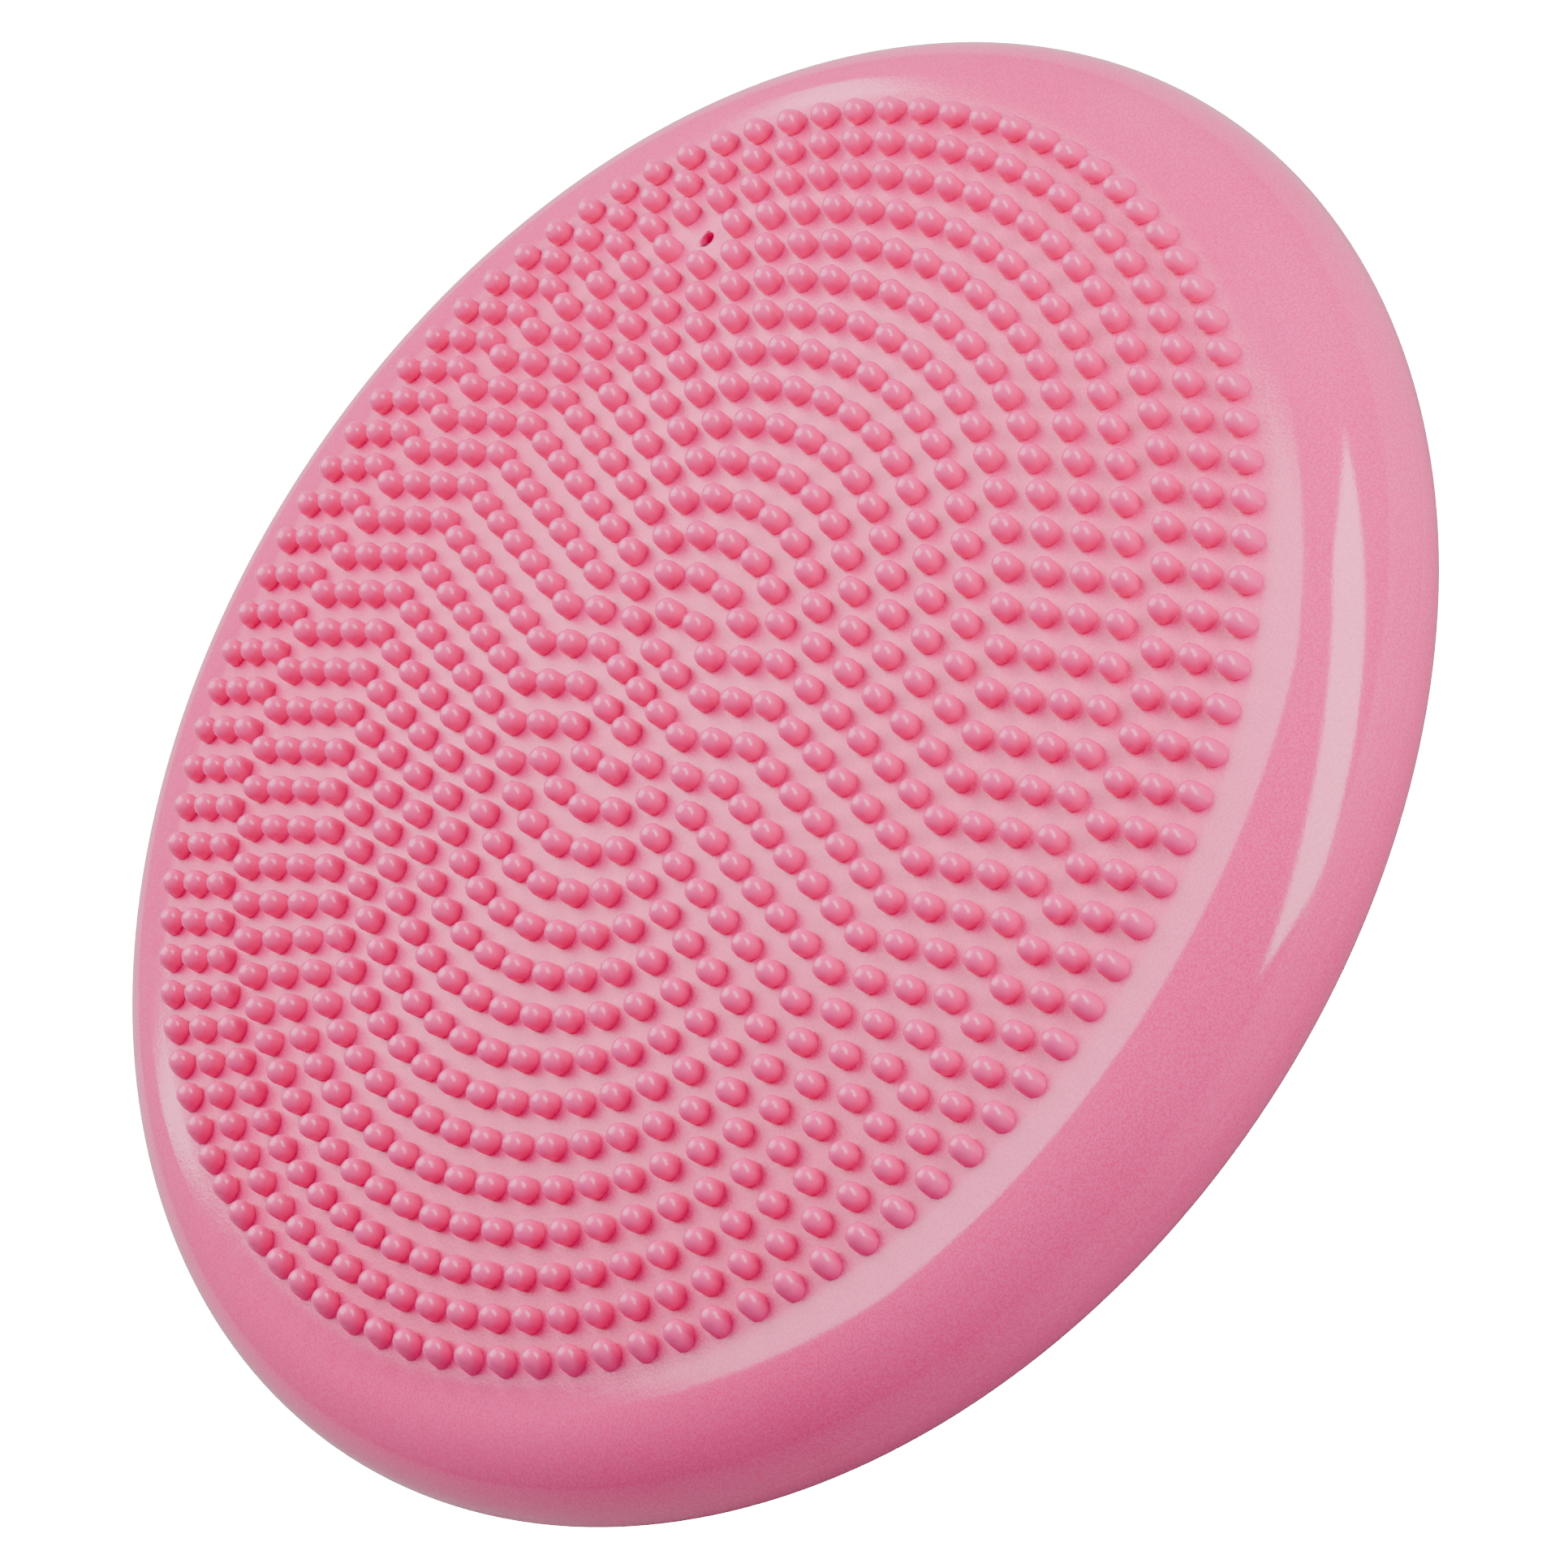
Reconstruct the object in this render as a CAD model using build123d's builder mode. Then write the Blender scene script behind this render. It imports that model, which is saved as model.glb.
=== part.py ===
"""Inflatable balance cushion: a soft PVC lens with a field of massage nubs and a needle valve.

The shell is one hollow moulding with a parting line round its rim. It is written as the half
above that line, the half below it, the nubs that stand on the upper half, and the rubber
valve core that is pushed into the moulded neck. Millimetres, +Z up, origin on the floor
under the centre.
"""

from build123d import *
from math import acos, asin, atan, cos, degrees, hypot, pi, radians, sin, sqrt
import os

os.makedirs("parts", exist_ok=True)

# ---- shell: the inflated lens -------------------------------------------------------------
disc_diameter = 330.0  # across the rim
lens_height = 72.0  # crown to crown of the free lens, without the nubs
rim_radius = 20.0  # roundness of the side, seen in section
wall = 3.0  # skin thickness
floor_flat_diameter = 62.0  # round patch that flattens where the cushion rests
# The curved section is drawn in straight steps, which keeps the part light in facets.
outside_steps = (4, 5)  # along the dome, and round the rim down to the parting line
inside_steps = (2, 3)

# ---- nubs ---------------------------------------------------------------------------------
nub_pitch = 8.8  # between rings, measured over the dome
bare_rim_width = 20.0  # least plain band between the last ring and the rim
nubs_added_per_ring = 6  # ring k carries 6 k nubs
staggered_rings = (3, 11, 13, 14, 16)  # rings that start half a step later
first_nub_angle = -101.0  # degrees, the direction in which every plain ring has a nub
nub_base_width = 5.6
nub_tip_width = 3.4
nub_height = 5.2
nub_bite = 0.1  # least depth of the nub's foot in the skin

# ---- needle valve -------------------------------------------------------------------------
valve_radius = 114.0  # wished distance from the centre: the valve takes the nearest nub's place
valve_angle = 41.0  # wished direction, degrees
needle_hole_diameter = 3.5  # in the skin
needle_channel_diameter = 2.4  # in the rubber core, blind at its lower end
needle_channel_depth = 9.0
core_diameter = 8.0
core_length = 12.0
core_squeeze = 0.1  # all round, between the core and the neck's narrower bore
core_flange_width = 2.0  # how far the flange reaches out past the core
core_flange_thickness = 1.5
neck_wall = 2.5

# ---- worked out from the sizes above ------------------------------------------------------
disc_radius = disc_diameter / 2
half_lens = lens_height / 2
rim_centre_radius = disc_radius - rim_radius
# Each face is one dome arc, tangent to the rim arc.
dome_radius = (disc_radius**2 - 2 * disc_radius * rim_radius + half_lens**2) / (
    lens_height - 2 * rim_radius
)
blend_angle = asin(rim_centre_radius / (dome_radius - rim_radius))
# The underside settles by the sagitta of its flat patch.
settle = dome_radius - sqrt(dome_radius**2 - (floor_flat_diameter / 2) ** 2)
crown_height = lens_height - settle
seam_height = half_lens - settle
dome_centre_height = crown_height - dome_radius
nub_rings = int(dome_radius * asin((disc_radius - bare_rim_width) / dome_radius) / nub_pitch)
# A step's middle lies this far under the true dome, and the foot of each nub reaches past it.
step_sagitta = dome_radius * (1 - cos(blend_angle / outside_steps[0] / 2))
nub_root = step_sagitta + nub_bite
nub_taper = degrees(atan((nub_base_width - nub_tip_width) / 2 / nub_height))


def dome_point(angle, depth=0.0):
    """Radius and height on the upper dome, at an angle from its axis and a depth in the skin."""
    reach = dome_radius - depth
    return reach * sin(angle), dome_centre_height + reach * cos(angle)


def lens_outline(depth, steps):
    """Half section of the lens at a depth in the skin, drawn in the line that is open."""
    dome_steps, rim_steps = steps
    upper_dome = [dome_point(blend_angle * step / dome_steps, depth) for step in range(dome_steps)]
    rim_reach = rim_radius - depth
    rim_turn = pi / 2 - blend_angle
    rim = []
    for step in range(rim_steps, -rim_steps - 1, -1):
        turn = rim_turn * step / rim_steps
        rim.append((rim_centre_radius + rim_reach * cos(turn), seam_height + rim_reach * sin(turn)))
    flat_angle = acos((dome_radius - depth - settle) / (dome_radius - depth))
    lower_dome = []
    for step in range(dome_steps - 1, -1, -1):
        angle = flat_angle + (blend_angle - flat_angle) * step / dome_steps
        radius, height = dome_point(angle, depth)
        lower_dome.append((radius, 2 * seam_height - height))
    Polyline(*upper_dome, *rim, *lower_dome, (0, depth), close=True)


def nub_plane(ring, step):
    """Plane that touches the dome where a nub grows, with its normal along the nub."""
    tilt = ring * nub_pitch / dome_radius
    turn = radians(first_nub_angle)
    if ring > 0:
        late = 0.5 if ring in staggered_rings else 0.0
        turn += 2 * pi * (step + late) / (nubs_added_per_ring * ring)
    radius, height = dome_point(tilt)
    return Plane(
        origin=(radius * cos(turn), radius * sin(turn), height),
        x_dir=(-sin(turn), cos(turn), 0),
        z_dir=(sin(tilt) * cos(turn), sin(tilt) * sin(turn), cos(tilt)),
    )


def gap_to_valve(plane):
    """Distance in plan from a nub to the wished place of the valve."""
    wished_x = valve_radius * cos(radians(valve_angle))
    wished_y = valve_radius * sin(radians(valve_angle))
    return hypot(plane.origin.X - wished_x, plane.origin.Y - wished_y)


# ---- places of the nubs, and the one that makes room for the valve ------------------------
nub_planes = [nub_plane(0, 0)]
for ring in range(1, nub_rings + 1):
    for step in range(nubs_added_per_ring * ring):
        nub_planes.append(nub_plane(ring, step))

valve_plane = min(nub_planes, key=gap_to_valve)
nub_planes.remove(valve_plane)
valve_place = (valve_plane.origin.X, valve_plane.origin.Y)
core_top = valve_plane.origin.Z - wall
neck_end = core_top - core_length

# ---- the whole lens, and the air space that the skin and the valve neck leave -------------
with BuildPart() as lens:
    with BuildSketch(Plane.XZ):
        with BuildLine():
            lens_outline(0, outside_steps)
        make_face()
    revolve(axis=Axis.Z)

with BuildPart() as air_space:
    with BuildSketch(Plane.XZ):
        with BuildLine():
            lens_outline(wall, inside_steps)
        make_face()
    revolve(axis=Axis.Z)
    with BuildSketch(Plane.XY.offset(neck_end)):
        with Locations(valve_place):
            Circle(core_diameter / 2 + neck_wall)
    extrude(amount=lens_height, mode=Mode.SUBTRACT)

# ---- upper half of the shell, with the neck, the core's bore and the needle hole ----------
with BuildPart() as upper_shell:
    add(lens.part)
    add(air_space.part, mode=Mode.SUBTRACT)
    split(bisect_by=Plane.XY.offset(seam_height), keep=Keep.TOP)
    with BuildSketch(Plane.XY.offset(core_top)):
        with Locations(valve_place):
            Circle(core_diameter / 2 - core_squeeze)
    extrude(amount=-core_length, mode=Mode.SUBTRACT)
    with BuildSketch(Plane.XY.offset(core_top)):
        with Locations(valve_place):
            Circle(needle_hole_diameter / 2)
    extrude(amount=lens_height, mode=Mode.SUBTRACT)

upper_shell.part.label = "upper_shell"
export_step(upper_shell.part, "parts/upper_shell.step")

# ---- lower half of the shell, flat where it rests -----------------------------------------
with BuildPart() as lower_shell:
    add(lens.part)
    add(air_space.part, mode=Mode.SUBTRACT)
    split(bisect_by=Plane.XY.offset(seam_height), keep=Keep.BOTTOM)

lower_shell.part.label = "lower_shell"
export_step(lower_shell.part, "parts/lower_shell.step")

# ---- self-sealing valve core: a rubber plug with a blind needle channel -------------------
with BuildPart() as valve_core:
    with BuildSketch(Plane.XY.offset(core_top)):
        with Locations(valve_place):
            Circle(core_diameter / 2)
    extrude(amount=-core_length)
    with BuildSketch(Plane.XY.offset(neck_end)):
        with Locations(valve_place):
            Circle(core_diameter / 2 + core_flange_width)
    extrude(amount=-core_flange_thickness)
    with BuildSketch(Plane.XY.offset(core_top)):
        with Locations(valve_place):
            Circle(needle_channel_diameter / 2)
    extrude(amount=-needle_channel_depth, mode=Mode.SUBTRACT)

valve_core.part.label = "valve_core"
export_step(valve_core.part, "parts/valve_core.step")

# ---- massage nubs: one tapered nub, repeated over the dome --------------------------------
with BuildPart() as nub:
    with BuildSketch(Plane.XY.offset(-nub_root)):
        Rectangle(nub_base_width, nub_base_width)
    extrude(amount=nub_height + nub_root, taper=nub_taper)

with BuildPart() as massage_nubs:
    with Locations(*nub_planes):
        add(nub.part, clean=False)

massage_nubs.part.label = "massage_nubs"
export_step(massage_nubs.part, "parts/massage_nubs.step")
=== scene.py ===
"""Looks of a soft inflatable balance cushion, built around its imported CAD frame.

The cushion is one moulded PVC skin, the massage nubs that stand on it, and the rubber valve
core under its needle hole. Metres, +Z up, origin on the floor under the centre.
"""
import logging
from contextlib import contextmanager
from dataclasses import dataclass
from enum import Enum
from math import asin, atan2, cos, hypot, pi, radians, sin, sqrt
from typing import Callable, Iterator

import bmesh
import bpy
from mathutils import Matrix, Vector


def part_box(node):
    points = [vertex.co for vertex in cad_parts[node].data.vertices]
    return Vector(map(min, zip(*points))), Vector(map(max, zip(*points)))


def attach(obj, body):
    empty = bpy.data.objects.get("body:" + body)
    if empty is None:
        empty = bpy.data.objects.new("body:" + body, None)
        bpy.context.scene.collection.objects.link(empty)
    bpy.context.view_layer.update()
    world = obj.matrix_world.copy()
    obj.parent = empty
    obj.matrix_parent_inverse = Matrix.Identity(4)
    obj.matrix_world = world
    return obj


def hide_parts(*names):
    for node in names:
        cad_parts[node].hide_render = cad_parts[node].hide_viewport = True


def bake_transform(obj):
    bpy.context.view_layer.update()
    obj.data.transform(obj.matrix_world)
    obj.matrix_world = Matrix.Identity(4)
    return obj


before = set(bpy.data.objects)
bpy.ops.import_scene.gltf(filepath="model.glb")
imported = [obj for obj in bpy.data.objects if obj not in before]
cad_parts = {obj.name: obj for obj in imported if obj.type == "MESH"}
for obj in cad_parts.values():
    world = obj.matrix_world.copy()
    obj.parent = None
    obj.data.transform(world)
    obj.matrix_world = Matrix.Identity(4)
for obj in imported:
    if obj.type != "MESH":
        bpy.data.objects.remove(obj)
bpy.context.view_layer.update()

log = logging.getLogger("balance_cushion")

MM = 0.001
FULL_TURN = 2 * pi
SKIN_WALL = 3 * MM
CORE_RADIUS = 4 * MM
CORE_LENGTH = 12 * MM
BORE_SIDES = 40  # faces round the valve core and its bore
NUB_HEIGHT = 5.15 * MM
WELD_DISTANCE = 0.002 * MM
SEED_PLANE_SIZE = 0.01  # of the plane that an outline's first point is gathered from


class Body(str, Enum):
    """Names of the bodies above and below where the cushion sinks; here only the top one has pieces
    attached.
    """

    BASE = "base"
    TOP = "top"


class Slot(str, Enum):
    """Names for the material slots of the shell, the nubs and the valve rubber."""

    SHELL = "shell_pvc"
    NUBS = "nub_pvc"
    VALVE = "valve_rubber"


# ---- work in edit mode --------------------------------------------------------------------
def deselect_objects() -> None:
    """Leave no object selected."""
    for thing in bpy.context.selected_objects:
        thing.select_set(False)


@contextmanager
def editing(piece: bpy.types.Object) -> Iterator[None]:
    """Open a piece in edit mode, and close it again.

    Args:
        piece: the mesh object to work on.
    """
    deselect_objects()
    piece.select_set(True)
    bpy.context.view_layer.objects.active = piece
    bpy.ops.object.mode_set(mode="EDIT")
    yield
    bpy.ops.object.mode_set(mode="OBJECT")


def select_verts(piece: bpy.types.Object, wanted: Callable[[Vector], bool]) -> None:
    """Select the vertices that a rule wants, with the edges and faces between them.

    Args:
        piece: the mesh object that is open in edit mode.
        wanted: says for a vertex's place whether it is selected.
    """
    mesh = bmesh.from_edit_mesh(piece.data)
    for vert in mesh.verts:
        vert.select_set(wanted(vert.co))
    mesh.select_flush(True)
    mesh.select_flush(False)
    bmesh.update_edit_mesh(piece.data)


def start_point(name: str, place: tuple[float, float, float]) -> bpy.types.Object:
    """Add a plane and gather it to the one point that an outline starts from.

    Args:
        name: the new object's name.
        place: the point, in metres.

    Returns:
        The object, with its single vertex at that place.
    """
    deselect_objects()
    bpy.ops.mesh.primitive_plane_add(size=SEED_PLANE_SIZE, location=(0, 0, 0))
    piece = bpy.context.object
    piece.name = name
    piece.data.name = name
    with editing(piece):
        bpy.ops.mesh.select_all(action="SELECT")
        bpy.ops.mesh.merge(type="CENTER")
        bpy.ops.transform.translate(value=place)
    return piece


def spin_outline(angle: float, steps: int, centre: tuple[float, float, float]) -> None:
    """Draw an arc from the selected point, in the XZ plane, turning outwards and down.

    Args:
        angle: how far the arc turns, in radians.
        steps: how many straight edges it has.
        centre: its centre.
    """
    bpy.ops.mesh.spin(steps=steps, angle=angle, center=centre, axis=(0, -1, 0))


def draw_line(move: tuple[float, float, float]) -> None:
    """Draw a straight edge from the selected point.

    Args:
        move: from the point to the edge's other end.
    """
    bpy.ops.mesh.extrude_vertices_move(TRANSFORM_OT_translate={"value": move})


def close_round(steps: int) -> None:
    """Spin the whole outline once round the upright axis and weld the result.

    Args:
        steps: how many faces it has all the way round.
    """
    bpy.ops.mesh.select_all(action="SELECT")
    bpy.ops.mesh.spin(steps=steps, angle=FULL_TURN, center=(0, 0, 0), axis=(0, 0, 1))
    bpy.ops.mesh.select_all(action="SELECT")
    bpy.ops.mesh.remove_doubles(threshold=WELD_DISTANCE)
    bpy.ops.mesh.normals_make_consistent(inside=False)


def smooth(piece: bpy.types.Object, angle: float) -> None:
    """Shade a piece smooth, with edges sharper than an angle left sharp.

    Args:
        piece: the mesh object.
        angle: the angle in radians.
    """
    deselect_objects()
    piece.select_set(True)
    bpy.context.view_layer.objects.active = piece
    bpy.ops.object.shade_smooth_by_angle(angle=angle)


# ---- the form that every piece follows ----------------------------------------------------
@dataclass(frozen=True)
class LensForm:
    """Section of the inflated lens: two shallow domes joined by a round rim."""

    radius: float
    seam_height: float
    crown_height: float
    lens_height: float = 72 * MM
    rim_radius: float = 20 * MM
    flat_radius: float = 31 * MM

    @property
    def rim_centre(self) -> float:
        """Distance from the axis to the centre of the rim's section."""
        return self.radius - self.rim_radius

    @property
    def dome_radius(self) -> float:
        """Radius of the dome that meets the rim without a corner."""
        half = self.lens_height / 2
        spread = self.radius**2 - 2 * self.radius * self.rim_radius + half**2
        return spread / (self.lens_height - 2 * self.rim_radius)

    @property
    def dome_centre(self) -> float:
        """Height of the upper dome's centre."""
        return self.crown_height - self.dome_radius

    @property
    def blend_angle(self) -> float:
        """Angle from the axis at which the dome becomes the rim."""
        return asin(self.rim_centre / (self.dome_radius - self.rim_radius))

    def dome_frame(self, tilt: float, turn: float) -> Matrix:
        """Place of something that grows out of the dome.

        Args:
            tilt: angle from the axis, seen from the dome's centre.
            turn: direction round the axis.

        Returns:
            The matrix whose Z axis stands on the dome and whose origin lies in it.
        """
        lean = Matrix.Rotation(turn, 4, "Z") @ Matrix.Rotation(tilt, 4, "Y")
        return Matrix.Translation((0, 0, self.dome_centre)) @ lean @ Matrix.Translation(
            (0, 0, self.dome_radius)
        )

    def rim_angle(self, place: Vector) -> float:
        """Angle of a point round the rim's section, 0 at the parting line, up is positive."""
        reach = hypot(place.x, place.y) - self.rim_centre
        return atan2(place.z - self.seam_height, reach)


# ---- the skin -----------------------------------------------------------------------------
@dataclass
class Skin:
    """The moulded PVC skin, with its parting groove, the ribs under it and the needle hole."""

    form: LensForm
    valve_place: Vector
    wall: float = SKIN_WALL
    dome_steps: int = 44
    rim_steps: int = 30
    lower_steps: int = 12
    turns: int = 240
    groove_half_angle: float = radians(0.8)
    groove_depth: float = 0.08 * MM
    wave_reach: float = radians(40)
    waves: tuple[tuple[float, int, float], ...] = (
        (0.55 * MM, 3, 1.0),
        (0.30 * MM, 7, 2.3),
        (0.12 * MM, 19, 0.4),
    )
    rib_radii: tuple[float, ...] = (46 * MM, 66 * MM, 86 * MM, 106 * MM, 126 * MM)
    rib_half_width: float = 1.4 * MM
    rib_height: float = 0.45 * MM
    hole_radius: float = 1.75 * MM
    hole_round: float = 0.35 * MM
    hole_round_steps: int = 3
    sharp_angle: float = radians(50)
    rib_offsets: tuple[float, ...] = (-1.0, -0.55, 0.0, 0.55, 1.0)  # in half widths of a rib
    rib_clear_zone: float = 1.5  # in half widths of a rib, where the dome has no point of its own
    core_radius: float = CORE_RADIUS
    core_length: float = CORE_LENGTH

    def build(self) -> bpy.types.Object:
        """Model the skin.

        Returns:
            The finished object, at the origin.
        """
        form = self.form
        skin = start_point("cushion_skin", (0, 0, form.crown_height))
        self._draw_section(skin)
        self._wave_the_groove(skin)
        self._pierce(skin)
        smooth(skin, self.sharp_angle)
        return skin

    def _draw_section(self, skin: bpy.types.Object) -> None:
        """Draw the half section from the crown down and under, and spin it round.

        Args:
            skin: the object that holds the crown's point.
        """
        form = self.form
        rim_turn = pi / 2 - form.blend_angle - self.groove_half_angle
        rim_centre = (form.rim_centre, 0, form.seam_height)
        lip = form.rim_radius * (1 - cos(self.groove_half_angle)) - self.groove_depth
        half_lip = form.rim_radius * sin(self.groove_half_angle)
        with editing(skin):
            bpy.ops.mesh.select_all(action="SELECT")
            spin_outline(form.blend_angle, self.dome_steps, (0, 0, form.dome_centre))
            spin_outline(rim_turn, self.rim_steps, rim_centre)
            draw_line((lip, 0, -half_lip))
            draw_line((-lip, 0, -half_lip))
            spin_outline(rim_turn, self.rim_steps, rim_centre)
            at = form.rim_centre + form.rim_radius * sin(form.blend_angle)
            for radius in self._lower_stations(at):
                step = self._lower_height(radius) - self._lower_height(at)
                draw_line((radius - at, 0, step))
                at = radius
            close_round(self.turns)

    def _lower_stations(self, start: float) -> list[float]:
        """Radii at which the lower dome's outline has a point, from the rim to the axis.

        Args:
            start: radius at which the rim ends.
        """
        plain = [start * (1 - step / self.lower_steps) for step in range(1, self.lower_steps)]
        shaped = [
            rib + offset * self.rib_half_width
            for rib in self.rib_radii
            for offset in self.rib_offsets
        ]
        gap = self.rib_clear_zone * self.rib_half_width
        clear = [
            radius
            for radius in plain
            if min(abs(radius - rib) for rib in self.rib_radii) > gap
            and radius > self.form.flat_radius
        ]
        return sorted([*clear, *shaped, self.form.flat_radius, 0.0], reverse=True)

    def _lower_height(self, radius: float) -> float:
        """Height of the underside at a radius, with the low ribs on it.

        Args:
            radius: distance from the axis.
        """
        form = self.form
        if radius <= form.flat_radius:
            return 0.0
        drop = form.dome_radius - sqrt(form.dome_radius**2 - radius**2)
        height = form.seam_height - form.crown_height + form.seam_height + drop
        for rib in self.rib_radii:
            away = abs(radius - rib) / self.rib_half_width
            if away < 1:
                height -= self.rib_height * (1 - away**2) ** 2
        return max(height, 0.0)

    def _wave_the_groove(self, skin: bpy.types.Object) -> None:
        """Let the parting line wander a little up and down the rim, as on a soft moulding.

        Args:
            skin: the spun skin.
        """
        form = self.form
        for vert in skin.data.vertices:
            if hypot(vert.co.x, vert.co.y) < form.rim_centre:
                continue
            angle = form.rim_angle(vert.co)
            if abs(angle) >= self.wave_reach:
                continue
            turn = atan2(vert.co.y, vert.co.x)
            wave = sum(size * sin(count * turn + late) for size, count, late in self.waves)
            share = (1 - (angle / self.wave_reach) ** 2) ** 2
            turned = angle + wave / form.rim_radius * share
            out = hypot(vert.co.x, vert.co.y) - form.rim_centre
            reach = hypot(out, vert.co.z - form.seam_height)
            radius = form.rim_centre + reach * cos(turned)
            height = form.seam_height + reach * sin(turned)
            vert.co = (radius * cos(turn), radius * sin(turn), height)

    def _pierce(self, skin: bpy.types.Object) -> None:
        """Cut the needle hole and the bore that holds the valve core, and round the hole's rim.

        Args:
            skin: the closed skin.
        """
        top = self.valve_place.z
        core_top = top - self.wall
        deselect_objects()
        bpy.ops.mesh.primitive_cylinder_add(
            vertices=BORE_SIDES,
            radius=self.core_radius,
            depth=self.core_length,
            location=(self.valve_place.x, self.valve_place.y, core_top - self.core_length / 2),
        )
        cutter = bpy.context.object
        with editing(cutter):
            select_verts(cutter, lambda place: place.z > 0)
            bpy.ops.mesh.inset(thickness=self.core_radius - self.hole_radius)
            bpy.ops.mesh.extrude_region_move(
                TRANSFORM_OT_translate={"value": (0, 0, 3 * self.wall)}
            )
        cut = skin.modifiers.new("needle_hole", "BOOLEAN")
        cut.operation = "DIFFERENCE"
        cut.solver = "EXACT"
        cut.object = cutter
        deselect_objects()
        bpy.context.view_layer.objects.active = skin
        skin.select_set(True)
        bpy.ops.object.modifier_apply(modifier=cut.name)
        bpy.data.objects.remove(cutter)
        near = 0.02 * MM

        def on_hole_rim(place: Vector) -> bool:
            """Say whether a point lies on the edge between the hole's wall and the dome."""
            away = hypot(place.x - self.valve_place.x, place.y - self.valve_place.y)
            return abs(away - self.hole_radius) < near and place.z > core_top + self.wall / 2

        with editing(skin):
            select_verts(skin, on_hole_rim)
            bpy.ops.mesh.bevel(
                offset=self.hole_round, segments=self.hole_round_steps, affect="EDGES"
            )


# ---- the nubs -----------------------------------------------------------------------------
@dataclass
class NubField:
    """Rings of soft nubs over the upper dome, with one place left free for the valve."""

    form: LensForm
    valve_place: Vector
    rings: int = 16
    pitch: float = 8.8 * MM
    added_per_ring: int = 6
    staggered: tuple[int, ...] = (3, 11, 13, 14, 16)  # rings that start half a step later
    first_turn: float = radians(-101)
    sides: int = 12
    height: float = NUB_HEIGHT
    sharp_angle: float = radians(80)
    # Half widths and heights of the nub's rings, from its foot in the skin to its round tip.
    outline: tuple[tuple[float, float], ...] = (
        (2.68 * MM, -1.20 * MM),
        (2.78 * MM, 0.90 * MM),
        (2.68 * MM, 2.60 * MM),
        (2.31 * MM, 3.83 * MM),
        (1.42 * MM, 4.76 * MM),
    )
    # The nubs of the last two rings lean inwards from the dome's normal, ring and angle.
    inward_lean: tuple[tuple[int, float], ...] = ((15, radians(9)), (16, radians(22)))

    def places(self) -> list[Matrix]:
        """Work out where each nub stands.

        Returns:
            One matrix for each nub, the valve's place left out.
        """
        found = [self.form.dome_frame(0, self.first_turn)]
        for ring in range(1, self.rings + 1):
            tilt = ring * self.pitch / self.form.dome_radius
            lean = Matrix.Rotation(-dict(self.inward_lean).get(ring, 0.0), 4, "Y")
            late = 0.5 if ring in self.staggered else 0.0
            count = self.added_per_ring * ring
            for step in range(count):
                turn = self.first_turn + FULL_TURN * (step + late) / count
                found.append(self.form.dome_frame(tilt, turn) @ lean)
        taken = min(found, key=lambda spot: (spot.translation - self.valve_place).length)
        found.remove(taken)
        return found

    def build(self) -> bpy.types.Object:
        """Model one nub and repeat it over the dome.

        Returns:
            The whole field as one object, at the origin.
        """
        nub = self._model_nub()
        copies = []
        for number, spot in enumerate(self.places()):
            mesh = nub.data.copy()
            mesh.transform(spot)
            copy = bpy.data.objects.new(f"nub_{number:03d}", mesh)
            bpy.context.scene.collection.objects.link(copy)
            copies.append(copy)
        bpy.data.objects.remove(nub)
        deselect_objects()
        for copy in copies:
            copy.select_set(True)
        bpy.context.view_layer.objects.active = copies[0]
        bpy.ops.object.join()
        field = bpy.context.object
        field.name = "nub_field"
        field.data.name = "nub_field"
        return field

    def _model_nub(self) -> bpy.types.Object:
        """Raise one nub ring by ring from a circle.

        Returns:
            The nub, standing at the origin.
        """
        deselect_objects()
        width, level = self.outline[0]
        bpy.ops.mesh.primitive_circle_add(
            vertices=self.sides, radius=width, fill_type="NOTHING", location=(0, 0, 0)
        )
        nub = bpy.context.object
        with editing(nub):
            bpy.ops.mesh.select_all(action="SELECT")
            bpy.ops.transform.translate(value=(0, 0, level))
            for next_width, next_level in self.outline[1:]:
                bpy.ops.mesh.extrude_edges_move(
                    TRANSFORM_OT_translate={"value": (0, 0, next_level - level)}
                )
                share = next_width / width
                bpy.ops.transform.resize(value=(share, share, 1), center_override=(0, 0, 0))
                width, level = next_width, next_level
            bpy.ops.mesh.extrude_edges_move(
                TRANSFORM_OT_translate={"value": (0, 0, self.height - level)}
            )
            bpy.ops.mesh.merge(type="CENTER")
            bpy.ops.mesh.select_all(action="SELECT")
            bpy.ops.mesh.normals_make_consistent(inside=False)
        smooth(nub, self.sharp_angle)
        return nub


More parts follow.
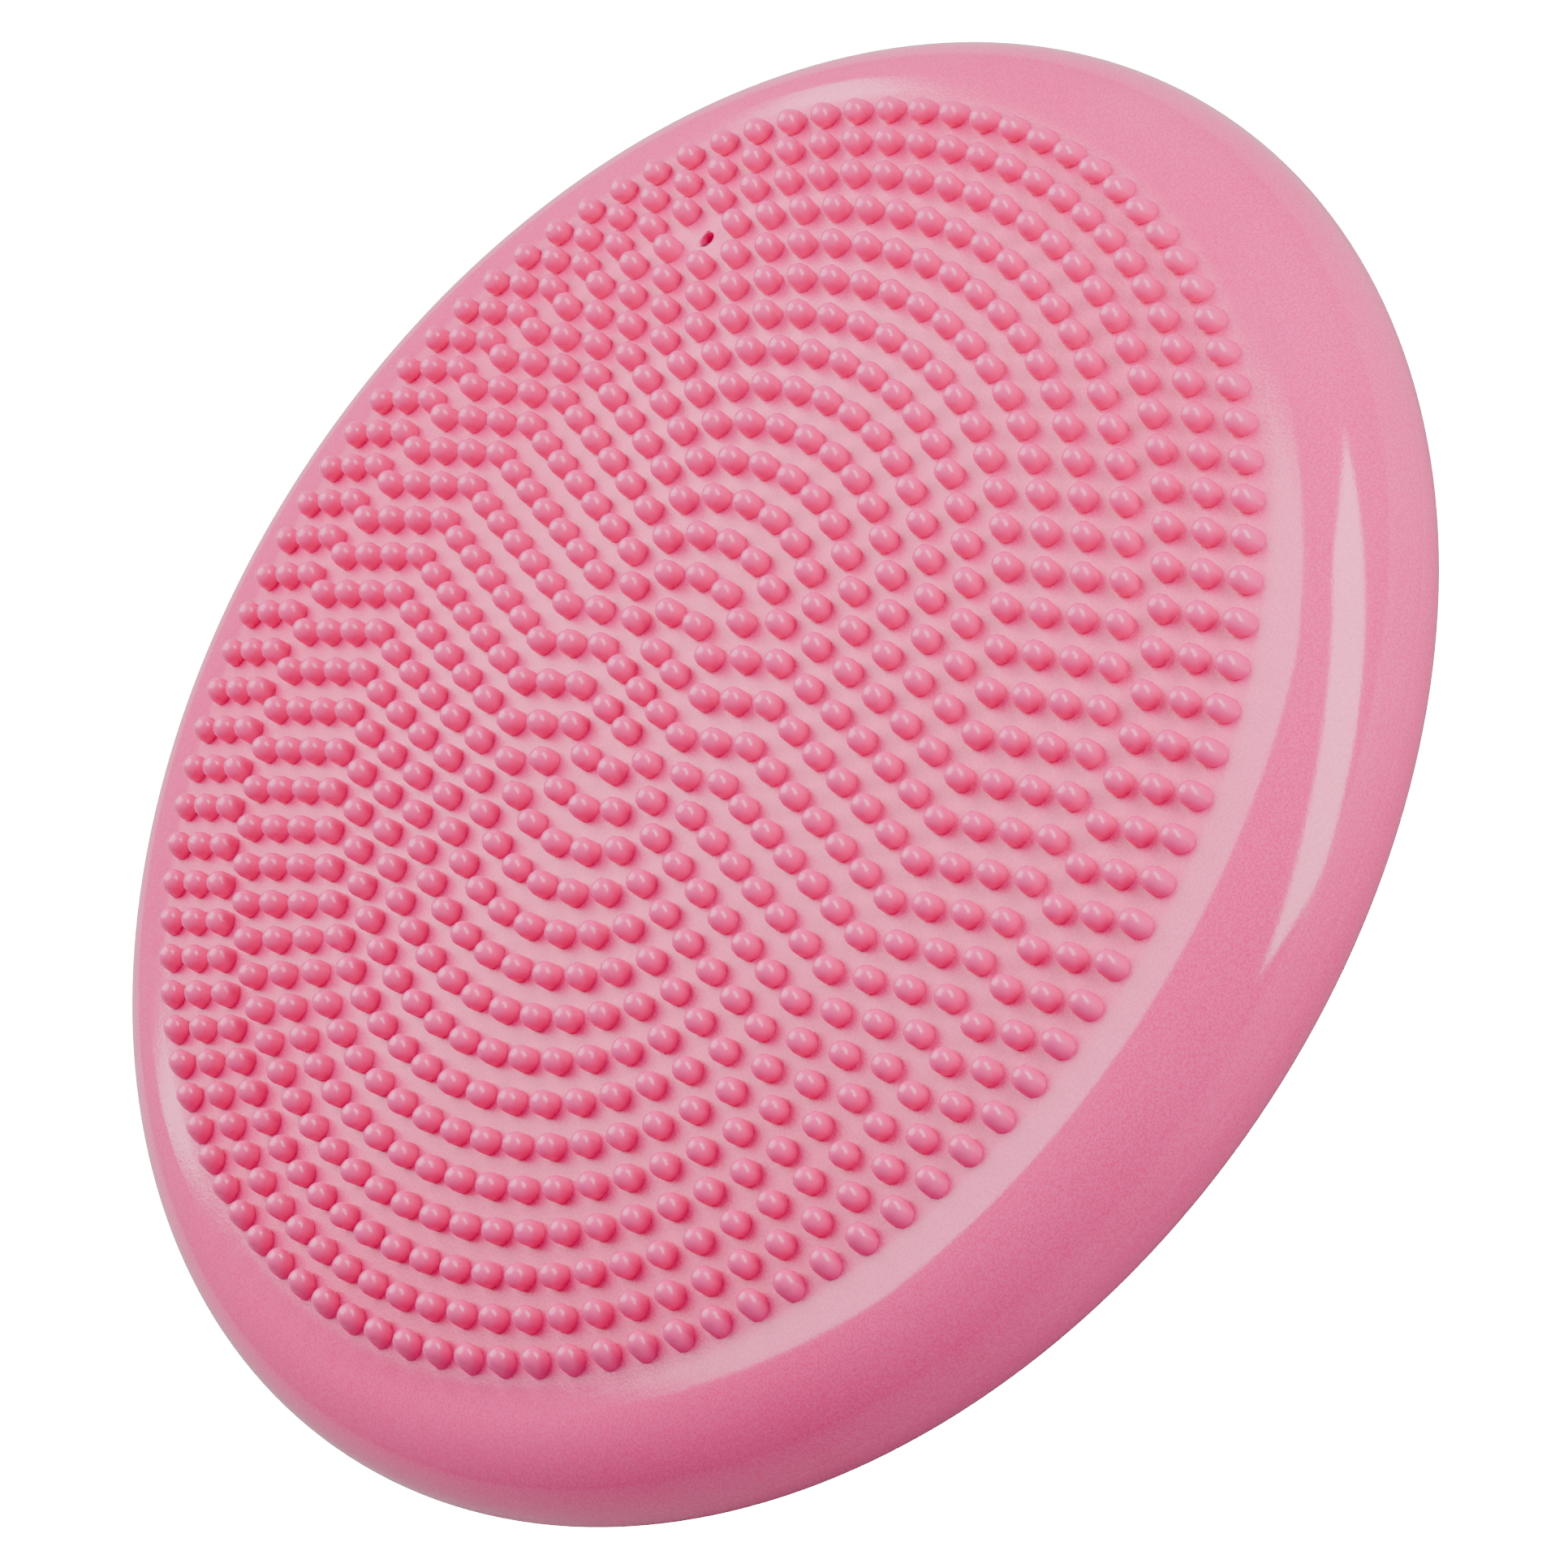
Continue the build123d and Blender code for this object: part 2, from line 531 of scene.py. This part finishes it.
# ---- the valve core -----------------------------------------------------------------------
@dataclass
class ValveCore:
    """Rubber plug under the needle hole, with a flange below and a blind needle channel."""

    valve_place: Vector
    wall: float = SKIN_WALL
    radius: float = CORE_RADIUS
    length: float = CORE_LENGTH
    flange_width: float = 2 * MM
    flange_thickness: float = 1.5 * MM
    channel_radius: float = 1.2 * MM
    channel_depth: float = 9 * MM
    edge_round: float = 0.25 * MM
    edge_round_steps: int = 2
    sharp_angle: float = radians(40)
    clearance: float = 0.02 * MM

    def build(self) -> bpy.types.Object:
        """Model the core.

        Returns:
            The finished object, at the origin.
        """
        top = self.valve_place.z - self.wall - self.clearance
        deselect_objects()
        bpy.ops.mesh.primitive_cylinder_add(
            vertices=BORE_SIDES,
            radius=self.radius - self.clearance,
            depth=self.length,
            location=(0, 0, 0),
        )
        core = bpy.context.object
        core.name = "valve_plug"
        core.data.name = "valve_plug"
        half = self.length / 2
        with editing(core):
            select_verts(core, lambda place: place.z > 0)
            bpy.ops.mesh.inset(thickness=self.radius - self.channel_radius)
            bpy.ops.mesh.extrude_region_move(
                TRANSFORM_OT_translate={"value": (0, 0, -self.channel_depth)}
            )
            select_verts(core, lambda place: place.z < -half + self.clearance)
            bpy.ops.mesh.extrude_region_move(TRANSFORM_OT_translate={"value": (0, 0, 0)})
            spread = (self.radius + self.flange_width) / self.radius
            bpy.ops.transform.resize(value=(spread, spread, 1), center_override=(0, 0, -half))
            bpy.ops.mesh.extrude_region_move(
                TRANSFORM_OT_translate={"value": (0, 0, -self.flange_thickness)}
            )
            bpy.ops.mesh.select_all(action="SELECT")
            bpy.ops.mesh.normals_make_consistent(inside=False)
            bpy.ops.transform.translate(
                value=(self.valve_place.x, self.valve_place.y, top - half)
            )
        rounding = core.modifiers.new("edge_round", "BEVEL")
        rounding.width = self.edge_round
        rounding.segments = self.edge_round_steps
        rounding.limit_method = "ANGLE"
        rounding.angle_limit = self.sharp_angle
        deselect_objects()
        bpy.context.view_layer.objects.active = core
        core.select_set(True)
        bpy.ops.object.modifier_apply(modifier=rounding.name)
        smooth(core, self.sharp_angle)
        return core


# ---- finishes -----------------------------------------------------------------------------
Colour = tuple[float, float, float]


class Nodes:
    """Short hand for wiring a node tree."""

    def __init__(self, tree: bpy.types.NodeTree) -> None:
        """Keep the tree that nodes are added to."""
        self.tree = tree

    def add(self, kind: str, **settings: object) -> bpy.types.Node:
        """Add a node and set its properties.

        Args:
            kind: the node's type name.
            settings: property names and values.

        Returns:
            The node.
        """
        node = self.tree.nodes.new(kind)
        for name, value in settings.items():
            setattr(node, name, value)
        return node

    def put(self, socket: bpy.types.NodeSocket, value: object) -> None:
        """Link a socket to another one, or set its value.

        Args:
            socket: the input.
            value: an output socket, or a plain value.
        """
        if isinstance(value, bpy.types.NodeSocket):
            self.tree.links.new(value, socket)
        else:
            socket.default_value = value

    def maths(self, operation: str, *values: object, clamp: bool = False) -> bpy.types.NodeSocket:
        """Add a Math node.

        Args:
            operation: the node's operation.
            values: its inputs.
            clamp: whether the result stays between 0 and 1.

        Returns:
            Its output.
        """
        node = self.add("ShaderNodeMath", operation=operation, use_clamp=clamp)
        for socket, value in zip(node.inputs, values):
            self.put(socket, value)
        return node.outputs[0]

    def fade(self, value: object, low: float, high: float) -> bpy.types.NodeSocket:
        """Go smoothly from 0 at one value to 1 at another.

        Args:
            value: what is compared.
            low: where the result is 0.
            high: where the result is 1.

        Returns:
            The result's socket.
        """
        node = self.add("ShaderNodeMapRange", interpolation_type="SMOOTHSTEP")
        if low < high:
            span, ends = (low, high), (0.0, 1.0)
        else:
            span, ends = (high, low), (1.0, 0.0)
        self.put(node.inputs["Value"], value)
        node.inputs["From Min"].default_value = span[0]
        node.inputs["From Max"].default_value = span[1]
        node.inputs["To Min"].default_value = ends[0]
        node.inputs["To Max"].default_value = ends[1]
        return node.outputs["Result"]

    def blend(self, share: object, first: object, second: object) -> bpy.types.NodeSocket:
        """Mix two colours.

        Args:
            share: how much of the second one.
            first: colour or socket.
            second: colour or socket.

        Returns:
            The mixed colour's socket.
        """
        node = self.add("ShaderNodeMix", data_type="RGBA")
        self.put(node.inputs["Factor"], share)
        self.put(node.inputs["A"], first)
        self.put(node.inputs["B"], second)
        return node.outputs["Result"]


def grain_group() -> bpy.types.NodeTree:
    """Build the moulded vinyl grain that all the soft finishes share.

    Returns:
        A group that takes a place and puts out a fine height, fine specks and broad clouds.
    """
    fine_detail, cloud_detail = 2.0, 3.0
    cell_pitch_share, cell_height_share = 0.6, 0.5
    speck_low, speck_high = 0.35, 0.65
    cloud_pitch, cloud_low, cloud_high = 16.0, 0.3, 0.7
    tree = bpy.data.node_groups.new("vinyl_grain", "ShaderNodeTree")
    tree.interface.new_socket("Place", in_out="INPUT", socket_type="NodeSocketVector")
    tree.interface.new_socket("Pitch", in_out="INPUT", socket_type="NodeSocketFloat")
    for name in ("Height", "Specks", "Clouds"):
        tree.interface.new_socket(name, in_out="OUTPUT", socket_type="NodeSocketFloat")
    nodes = Nodes(tree)
    taken = nodes.add("NodeGroupInput")
    given = nodes.add("NodeGroupOutput")
    fine = nodes.add("ShaderNodeTexNoise")
    nodes.put(fine.inputs["Vector"], taken.outputs["Place"])
    nodes.put(fine.inputs["Scale"], taken.outputs["Pitch"])
    nodes.put(fine.inputs["Detail"], fine_detail)
    cells = nodes.add("ShaderNodeTexVoronoi", feature="SMOOTH_F1")
    nodes.put(cells.inputs["Vector"], taken.outputs["Place"])
    cell_pitch = nodes.maths("MULTIPLY", taken.outputs["Pitch"], cell_pitch_share)
    nodes.put(cells.inputs["Scale"], cell_pitch)
    cell_height = nodes.maths("MULTIPLY", cells.outputs["Distance"], cell_height_share)
    height = nodes.maths("ADD", fine.outputs["Fac"], cell_height)
    specks = nodes.fade(fine.outputs["Fac"], speck_low, speck_high)
    broad = nodes.add("ShaderNodeTexNoise")
    nodes.put(broad.inputs["Vector"], taken.outputs["Place"])
    nodes.put(broad.inputs["Scale"], cloud_pitch)
    nodes.put(broad.inputs["Detail"], cloud_detail)
    clouds = nodes.fade(broad.outputs["Fac"], cloud_low, cloud_high)
    nodes.put(given.inputs["Height"], height)
    nodes.put(given.inputs["Specks"], specks)
    nodes.put(given.inputs["Clouds"], clouds)
    return tree


@dataclass(frozen=True)
class SoftFinish:
    """What the soft PVC and rubber finishes share."""

    name: str
    colour: Colour
    deep_colour: Colour
    roughness: float
    grain: bpy.types.NodeTree
    grain_pitch: float = 2200.0
    grain_height: float = 0.05 * MM
    gloss: float = 0.70
    translucency: float = 0.18
    light_reach: tuple[float, float, float] = (2.6 * MM, 1.4 * MM, 1.8 * MM)

    def _begin(
        self,
    ) -> tuple[bpy.types.Material, Nodes, bpy.types.Node, bpy.types.Node, bpy.types.Node]:
        """Start the material.

        Returns:
            The material, its node helper, the Principled node, the grain and the coordinates.
        """
        material = bpy.data.materials.new(self.name)
        material.use_nodes = True
        nodes = Nodes(material.node_tree)
        surface = material.node_tree.nodes["Principled BSDF"]
        surface.inputs["Specular IOR Level"].default_value = self.gloss
        surface.inputs["Subsurface Weight"].default_value = self.translucency
        surface.inputs["Subsurface Radius"].default_value = self.light_reach
        surface.inputs["Subsurface Scale"].default_value = 1.0
        place = nodes.add("ShaderNodeTexCoord")
        grain = nodes.add("ShaderNodeGroup", node_tree=self.grain)
        nodes.put(grain.inputs["Place"], place.outputs["Object"])
        nodes.put(grain.inputs["Pitch"], self.grain_pitch)
        return material, nodes, surface, grain, place

    def _bump(self, nodes: Nodes, height: object) -> bpy.types.NodeSocket:
        """Turn a height into a normal.

        Args:
            nodes: the material's node helper.
            height: the height's socket, 1 for the full grain height.

        Returns:
            The normal's socket.
        """
        bump = nodes.add("ShaderNodeBump")
        nodes.put(bump.inputs["Height"], height)
        bump.inputs["Distance"].default_value = self.grain_height
        bump.inputs["Strength"].default_value = 1.0
        return bump.outputs["Normal"]


@dataclass(frozen=True)
class ShellFinish(SoftFinish):
    """Skin: satin and finely grained among the nubs, glossy on the bare rim."""

    form: LensForm | None = None
    field_radius: float = 143.5 * MM
    field_roughness: float = 0.34
    field_edge: float = 2 * MM  # half the width over which the field's finish fades out
    seam_fade: float = 5 * MM  # height above the parting line at which the field's finish is full
    cloud_tone: float = 0.25
    speck_tone: float = 0.7
    uneven_roughness: float = 0.04
    rim_grain: float = 0.25  # grain height on the bare rim, as a share of the field's

    def build(self) -> bpy.types.Material:
        """Make the material.

        Returns:
            The material.
        """
        material, nodes, surface, grain, place = self._begin()
        split = nodes.add("ShaderNodeSeparateXYZ")
        nodes.put(split.inputs[0], place.outputs["Object"])
        x, y, z = split.outputs
        radius = nodes.maths(
            "SQRT",
            nodes.maths("ADD", nodes.maths("MULTIPLY", x, x), nodes.maths("MULTIPLY", y, y)),
        )
        inside = nodes.fade(
            radius, self.field_radius + self.field_edge, self.field_radius - self.field_edge
        )
        above = nodes.fade(z, self.form.seam_height, self.form.seam_height + self.seam_fade)
        field = nodes.maths("MULTIPLY", inside, above)
        clouds = nodes.maths("MULTIPLY", grain.outputs["Clouds"], self.cloud_tone)
        specks = nodes.maths("MULTIPLY", grain.outputs["Specks"], self.speck_tone)
        share = nodes.maths("ADD", clouds, specks, clamp=True)
        colour = nodes.blend(share, (*self.colour, 1), (*self.deep_colour, 1))
        nodes.put(surface.inputs["Base Color"], colour)
        span = self.field_roughness - self.roughness
        rough = nodes.maths("ADD", nodes.maths("MULTIPLY", field, span), self.roughness)
        uneven = nodes.maths("MULTIPLY", grain.outputs["Clouds"], self.uneven_roughness)
        nodes.put(surface.inputs["Roughness"], nodes.maths("ADD", rough, uneven))
        field_part = nodes.maths("MULTIPLY", field, 1 - self.rim_grain)
        reach = nodes.maths("ADD", field_part, self.rim_grain)
        height = nodes.maths("MULTIPLY", grain.outputs["Height"], reach)
        nodes.put(surface.inputs["Normal"], self._bump(nodes, height))
        return material


@dataclass(frozen=True)
class NubFinish(SoftFinish):
    """Nubs: the same PVC, with painted shade that makes them deeper in tone towards the foot, where
    they meet the skin.
    """

    form: LensForm | None = None
    nub_height: float = NUB_HEIGHT
    foot_shade_reach: float = 0.7  # how far up the nub the painted shade at its foot reaches
    # strength of the painted shade at the nub's foot
    foot_shade_strength: float = 0.7
    cloud_tone: float = 0.25
    uneven_roughness: float = 0.06

    def build(self) -> bpy.types.Material:
        """Make the material.

        Returns:
            The material.
        """
        material, nodes, surface, grain, place = self._begin()
        from_centre = nodes.add("ShaderNodeVectorMath", operation="DISTANCE")
        nodes.put(from_centre.inputs[0], place.outputs["Object"])
        nodes.put(from_centre.inputs[1], (0, 0, self.form.dome_centre))
        level = nodes.maths("SUBTRACT", from_centre.outputs["Value"], self.form.dome_radius)
        # Painted shade: the colour deepens towards each nub's foot, where it meets the skin.
        foot_shade = nodes.fade(level, self.foot_shade_reach * self.nub_height, 0.0)
        clouds = nodes.maths("MULTIPLY", grain.outputs["Clouds"], self.cloud_tone)
        foot_shade_part = nodes.maths("MULTIPLY", foot_shade, self.foot_shade_strength)
        share = nodes.maths("ADD", foot_shade_part, clouds, clamp=True)
        colour = nodes.blend(share, (*self.colour, 1), (*self.deep_colour, 1))
        nodes.put(surface.inputs["Base Color"], colour)
        uneven = nodes.maths("MULTIPLY", grain.outputs["Clouds"], self.uneven_roughness)
        nodes.put(surface.inputs["Roughness"], nodes.maths("ADD", uneven, self.roughness))
        nodes.put(surface.inputs["Normal"], self._bump(nodes, grain.outputs["Height"]))
        return material


@dataclass(frozen=True)
class RubberFinish(SoftFinish):
    """Valve core: matt rubber in a darker rose."""

    uneven_roughness: float = 0.1

    def build(self) -> bpy.types.Material:
        """Make the material.

        Returns:
            The material.
        """
        material, nodes, surface, grain, _ = self._begin()
        colour = nodes.blend(grain.outputs["Specks"], (*self.colour, 1), (*self.deep_colour, 1))
        nodes.put(surface.inputs["Base Color"], colour)
        uneven = nodes.maths("MULTIPLY", grain.outputs["Clouds"], self.uneven_roughness)
        nodes.put(surface.inputs["Roughness"], nodes.maths("ADD", uneven, self.roughness))
        nodes.put(surface.inputs["Normal"], self._bump(nodes, grain.outputs["Height"]))
        return material


# ---- studio -------------------------------------------------------------------------------
@dataclass(frozen=True)
class SoftBox:
    """A rectangular studio light that faces the cushion."""

    name: str
    azimuth: float  # direction from the cushion, from +Y towards +X, degrees
    elevation: float  # degrees above the floor
    distance: float
    width: float
    height: float
    radiance: float
    roll: float = 0.0  # degrees

    def build(self, aim: Vector) -> bpy.types.Object:
        """Hang the light.

        Args:
            aim: the point that it faces.

        Returns:
            The light object.
        """
        turn, lift = radians(self.azimuth), radians(self.elevation)
        away = Vector((sin(turn) * cos(lift), cos(turn) * cos(lift), sin(lift)))
        lamp = bpy.data.lights.new(self.name, "AREA")
        lamp.shape = "RECTANGLE"
        lamp.size = self.width
        lamp.size_y = self.height
        lamp.energy = self.radiance * pi * self.width * self.height
        box = bpy.data.objects.new(self.name, lamp)
        bpy.context.scene.collection.objects.link(box)
        facing = away.to_track_quat("Z", "Y").to_matrix().to_4x4()
        rolled = Matrix.Rotation(radians(self.roll), 4, "Z")
        box.matrix_world = Matrix.Translation(aim + away * self.distance) @ facing @ rolled
        return box


@dataclass(frozen=True)
class Studio:
    """Pale floor, soft light and the camera."""

    aim_height: float = 25.3 * MM
    camera_distance: float = 1.608
    camera_elevation: float = 43.18
    camera_roll: float = 56.95
    lens: float = 178.0
    sensor: float = 36.0
    clip_start: float = 0.05
    floor_size: float = 8.0
    floor_roughness: float = 0.7
    floor_gloss: float = 0.2
    floor_colour: Colour = (0.50, 0.50, 0.50)
    ambient: float = 0.45
    white_glow: float = 12.0  # what the camera alone sees of floor and room, so that they are white
    boxes: tuple[SoftBox, ...] = (
        SoftBox("back_box", 0, 53, 1.2, 1.10, 1.42, 3.7),
        SoftBox("side_strip", 135, 24, 0.9, 1.16, 0.36, 5.9, roll=33),
    )

    def build(self) -> None:
        """Set up floor, world, lights and camera."""
        aim = Vector((0, 0, self.aim_height))
        for box in self.boxes:
            box.build(aim)
        self._lay_floor()
        self._set_world()
        self._place_camera(aim)
        bpy.context.scene.view_settings.view_transform = "AgX"
        bpy.context.scene.view_settings.look = "AgX - Medium High Contrast"

    def _lay_floor(self) -> None:
        """Lay a pale floor under the cushion."""
        deselect_objects()
        bpy.ops.mesh.primitive_plane_add(size=self.floor_size, location=(0, 0, 0))
        floor = bpy.context.object
        floor.name = "studio_floor"
        material = bpy.data.materials.new("pale_floor")
        material.use_nodes = True
        nodes = Nodes(material.node_tree)
        surface = material.node_tree.nodes["Principled BSDF"]
        surface.inputs["Roughness"].default_value = self.floor_roughness
        surface.inputs["Specular IOR Level"].default_value = self.floor_gloss
        surface.inputs["Base Color"].default_value = (*self.floor_colour, 1)
        surface.inputs["Emission Color"].default_value = (1, 1, 1, 1)
        sight = nodes.add("ShaderNodeLightPath")
        glow = nodes.maths("MULTIPLY", sight.outputs["Is Camera Ray"], self.white_glow)
        nodes.put(surface.inputs["Emission Strength"], glow)
        floor.data.materials.append(material)

    def _set_world(self) -> None:
        """Fill the room with a low even light."""
        world = bpy.data.worlds.new("studio")
        bpy.context.scene.world = world
        world.use_nodes = True
        background = world.node_tree.nodes["Background"]
        background.inputs["Color"].default_value = (1, 1, 1, 1)
        nodes = Nodes(world.node_tree)
        sight = nodes.add("ShaderNodeLightPath")
        seen = nodes.maths("MULTIPLY", sight.outputs["Is Camera Ray"], self.white_glow)
        nodes.put(background.inputs["Strength"], nodes.maths("ADD", seen, self.ambient))

    def _place_camera(self, aim: Vector) -> None:
        """Place the camera in front of and above the cushion, rolled on its side.

        Args:
            aim: the point at the middle of the picture.
        """
        lift = radians(self.camera_elevation)
        back = Vector((0, -cos(lift), sin(lift)))
        sight = bpy.data.cameras.new("camera")
        sight.lens = self.lens
        sight.sensor_width = self.sensor
        sight.clip_start = self.clip_start
        camera = bpy.data.objects.new("camera", sight)
        bpy.context.scene.collection.objects.link(camera)
        level = back.to_track_quat("Z", "Y").to_matrix().to_4x4()
        rolled = Matrix.Rotation(radians(-self.camera_roll), 4, "Z")
        camera.matrix_world = Matrix.Translation(aim + back * self.camera_distance) @ level @ rolled
        bpy.context.scene.camera = camera


# ---- the whole cushion --------------------------------------------------------------------
def valve_spot() -> Vector:
    """Where the needle hole meets the dome: over the core's middle, one wall above its top."""
    low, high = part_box("valve_core")
    return Vector(((low.x + high.x) / 2, (low.y + high.y) / 2, high.z + SKIN_WALL))


def report(piece: bpy.types.Object) -> None:
    """Log a piece's name and how many faces it has."""
    log.info("%s: %d faces", piece.name, len(piece.data.polygons))


def main() -> None:
    """Build the cushion's pieces in order, dress them and set up the studio."""
    logging.basicConfig(level=logging.INFO, format="%(message)s")
    shell_low, shell_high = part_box("upper_shell")
    form = LensForm(radius=shell_high.x, seam_height=shell_low.z, crown_height=shell_high.z)
    spot = valve_spot()
    grain = grain_group()

    skin = Skin(form, spot).build()
    finish = ShellFinish(
        "shell_pvc_finish", (0.91, 0.120, 0.350), (0.85, 0.056, 0.235), 0.07, grain, form=form
    )
    skin.data.materials.clear()
    skin.data.materials.append(finish.build())
    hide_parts("upper_shell", "lower_shell")
    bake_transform(skin)
    report(skin)

    nubs = NubField(form, spot).build()
    finish = NubFinish(
        "nub_pvc_finish",
        (0.91, 0.106, 0.335),
        (0.88, 0.080, 0.285),
        0.22,
        grain,
        grain_height=0.012 * MM,
        form=form,
    )
    nubs.data.materials.clear()
    nubs.data.materials.append(finish.build())
    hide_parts("massage_nubs")
    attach(nubs, Body.TOP.value)
    report(nubs)

    core = ValveCore(spot).build()
    finish = RubberFinish(
        "valve_rubber_finish", (0.55, 0.10, 0.20), (0.46, 0.07, 0.15), 0.5, grain
    )
    core.data.materials.clear()
    core.data.materials.append(finish.build())
    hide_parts("valve_core")
    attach(core, Body.TOP.value)
    report(core)

    Studio().build()


if __name__ == "__main__":
    main()
